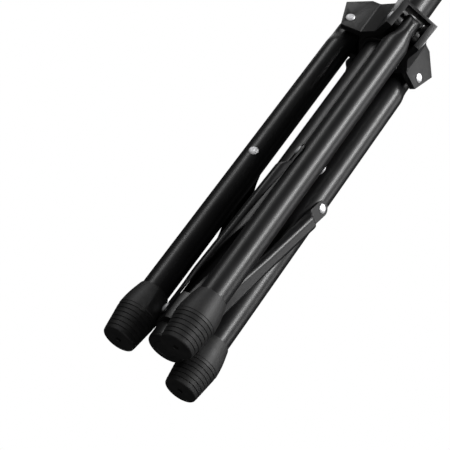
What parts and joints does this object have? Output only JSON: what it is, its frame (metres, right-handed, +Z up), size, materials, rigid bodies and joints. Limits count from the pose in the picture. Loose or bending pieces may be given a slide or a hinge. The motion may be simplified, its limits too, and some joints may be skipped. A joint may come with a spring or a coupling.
{
  "type": "tripod hunting stand",
  "caption": "Folding steel tripod hunting stand: black tube legs on a sliding hub, pressed struts, rubber feet, telescoping mast and V rest.",
  "frame": {"origin": "on the pole axis, in the plane the three feet stand on", "axes": "+Z up along the pole; leg 1 and its foot towards -Y; the V rest opens in the XZ plane"},
  "size_m": [0.1078, 0.112, 0.7377],
  "materials": {
    "black_paint": "satin black powder coat, fine texture",
    "foot_rubber": "matte, moulded",
    "black_plastic": "fine-grained nylon",
    "bare_steel": "zinc-plated"
  },
  "bodies": {
    "pole": {"pole_tube": "black_paint", "pole_plug": "black_plastic", "lower_bracket": "black_paint", "bracket_pin": "bare_steel", "clamp_collar": "black_plastic", "pole_liner": "black_plastic"},
    "mast": {"mast_tube": "black_paint", "mast_glide": "black_plastic", "mast_cap": "black_plastic"},
    "yoke": {"yoke_stem": "black_plastic", "yoke_saddle": "black_paint", "yoke_rod": "black_paint", "yoke_grip_left": "foot_rubber", "yoke_grip_right": "foot_rubber"},
    "mast_knob": {"mast_clamp_knob": "black_plastic", "mast_clamp_screw": "bare_steel"},
    "hub": {"hub_body": "black_paint", "hub_liner": "black_plastic", "hub_rivets": "bare_steel", "hub_spacers": "black_plastic"},
    "hub_knob": {"hub_lock_knob": "black_plastic", "hub_lock_screw": "bare_steel"},
    "leg_1": {"leg_1_tube": "black_paint", "leg_1_foot": "foot_rubber", "leg_1_tip_washer": "bare_steel", "leg_1_strut_rivet": "bare_steel"},
    "link_1": {"strut_1": "black_paint", "strut_1_foot_rivet": "bare_steel"},
    "leg_2": {"leg_2_tube": "black_paint", "leg_2_foot": "foot_rubber", "leg_2_tip_washer": "bare_steel", "leg_2_strut_rivet": "bare_steel"},
    "link_2": {"strut_2": "black_paint", "strut_2_foot_rivet": "bare_steel"},
    "leg_3": {"leg_3_tube": "black_paint", "leg_3_foot": "foot_rubber", "leg_3_tip_washer": "bare_steel", "leg_3_strut_rivet": "bare_steel"},
    "link_3": {"strut_3": "black_paint", "strut_3_foot_rivet": "bare_steel"}
  },
  "joints": [
    {"name": "pole_slide", "type": "slide", "parent": "hub", "child": "pole", "axis": [0, 0, 1], "range_m": [0, 0.12178]},
    {"name": "mast_slide", "type": "slide", "parent": "pole", "child": "mast", "axis": [0, 0, 1], "range_m": [0, 0.21]},
    {"name": "yoke_turn", "type": "hinge", "parent": "mast", "child": "yoke", "pos_m": [0, 0, 0.65], "axis": [0, 0, 1], "continuous": true},
    {"name": "hub_knob_turn", "type": "hinge", "parent": "hub", "child": "hub_knob", "pos_m": [0, 0.045, 0.395], "axis": [0, 1, 0], "range_deg": [0, 360]},
    {"name": "mast_knob_turn", "type": "hinge", "parent": "pole", "child": "mast_knob", "pos_m": [0, -0.04, 0.5686], "axis": [0, -1, 0], "range_deg": [0, 360]},
    {"name": "leg_1_swing", "type": "hinge", "parent": "hub", "child": "leg_1", "pos_m": [0, -0.038, 0.395], "axis": [-1, 0, 0], "range_deg": [0, 40.5]},
    {"name": "strut_1_swing", "type": "hinge", "parent": "leg_1", "child": "link_1", "pos_m": [0, -0.038, 0.217], "axis": [1, 0, 0], "range_deg": [0, 86.5]},
    {"name": "leg_2_swing", "type": "hinge", "parent": "hub", "child": "leg_2", "pos_m": [0.03291, 0.019, 0.395], "axis": [0.5, -0.866, 0], "range_deg": [0, 40.5]},
    {"name": "strut_2_swing", "type": "hinge", "parent": "leg_2", "child": "link_2", "pos_m": [0.03291, 0.019, 0.217], "axis": [-0.5, 0.866, 0], "range_deg": [0, 86.5]},
    {"name": "leg_3_swing", "type": "hinge", "parent": "hub", "child": "leg_3", "pos_m": [-0.03291, 0.019, 0.395], "axis": [0.5, 0.866, 0], "range_deg": [0, 40.5]},
    {"name": "strut_3_swing", "type": "hinge", "parent": "leg_3", "child": "link_3", "pos_m": [-0.03291, 0.019, 0.217], "axis": [-0.5, -0.866, 0], "range_deg": [0, 86.5]}
  ],
  "couplings": [
    {"joint": "leg_1_swing", "follows": "pole_slide", "rad_per_m": 5.7326},
    {"joint": "strut_1_swing", "follows": "pole_slide", "rad_per_m": 12.275},
    {"joint": "leg_2_swing", "follows": "pole_slide", "rad_per_m": 5.7326},
    {"joint": "strut_2_swing", "follows": "pole_slide", "rad_per_m": 12.275},
    {"joint": "leg_3_swing", "follows": "pole_slide", "rad_per_m": 5.7326},
    {"joint": "strut_3_swing", "follows": "pole_slide", "rad_per_m": 12.275}
  ]
}
